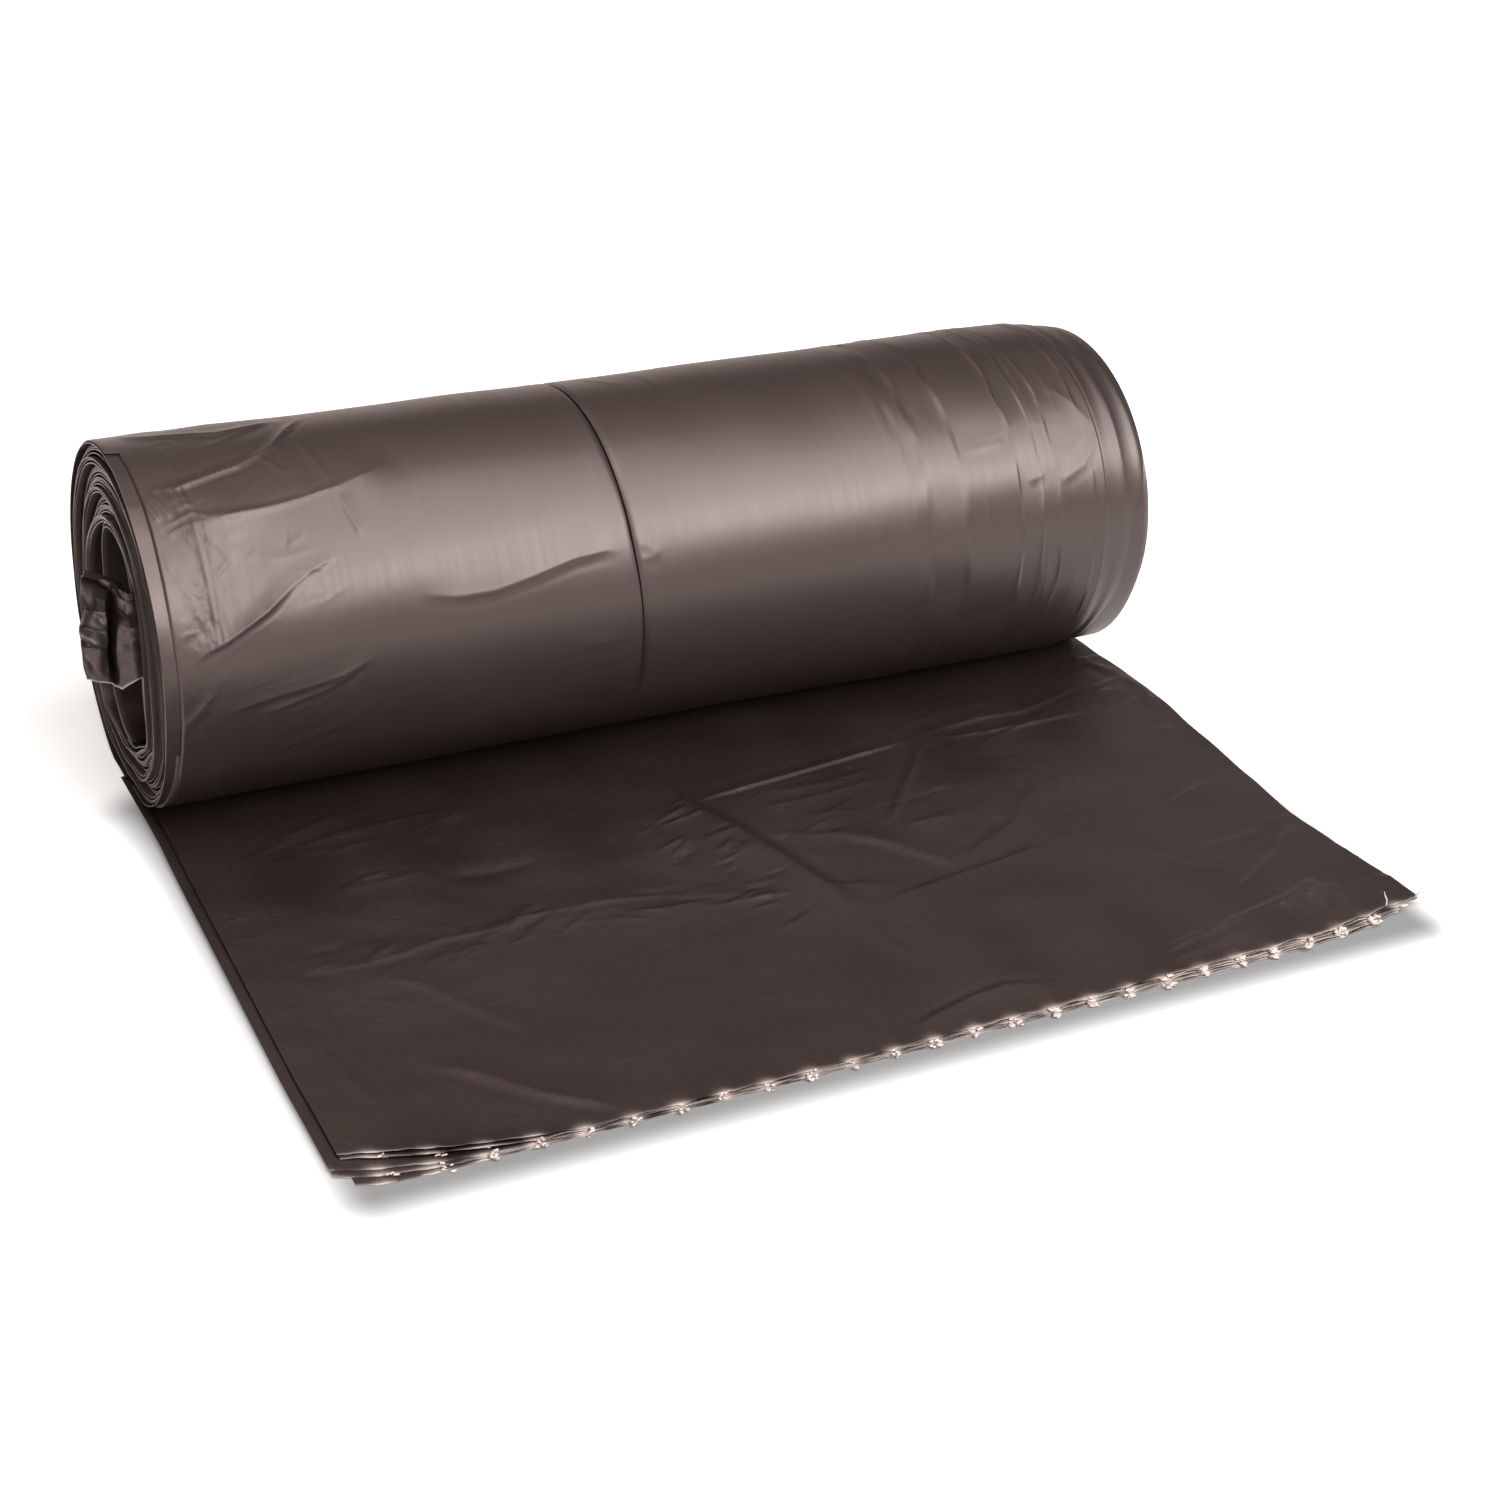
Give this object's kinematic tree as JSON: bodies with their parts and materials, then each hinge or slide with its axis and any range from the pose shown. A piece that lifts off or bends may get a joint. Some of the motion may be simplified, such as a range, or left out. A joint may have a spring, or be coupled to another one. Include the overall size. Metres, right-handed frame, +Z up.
{
  "type": "bin bag roll",
  "caption": "Coreless roll of dark film bin bags, wound loosely round a hollow, with the first bag drawn out flat to its torn perforated edge.",
  "frame": {"origin": "on the surface the roll lies on, under the top of the roll, halfway along its length", "axes": "+X along the roll, away from the end that the tail stands out of; +Y away from the drawn-out bag; +Z up"},
  "size_m": [0.265, 0.2105, 0.084],
  "materials": {
    "bag_roll": "satin brown-black polyethylene film"
  },
  "bodies": {
    "root": {"bag_roll": "bag_roll"}
  },
  "joints": []
}
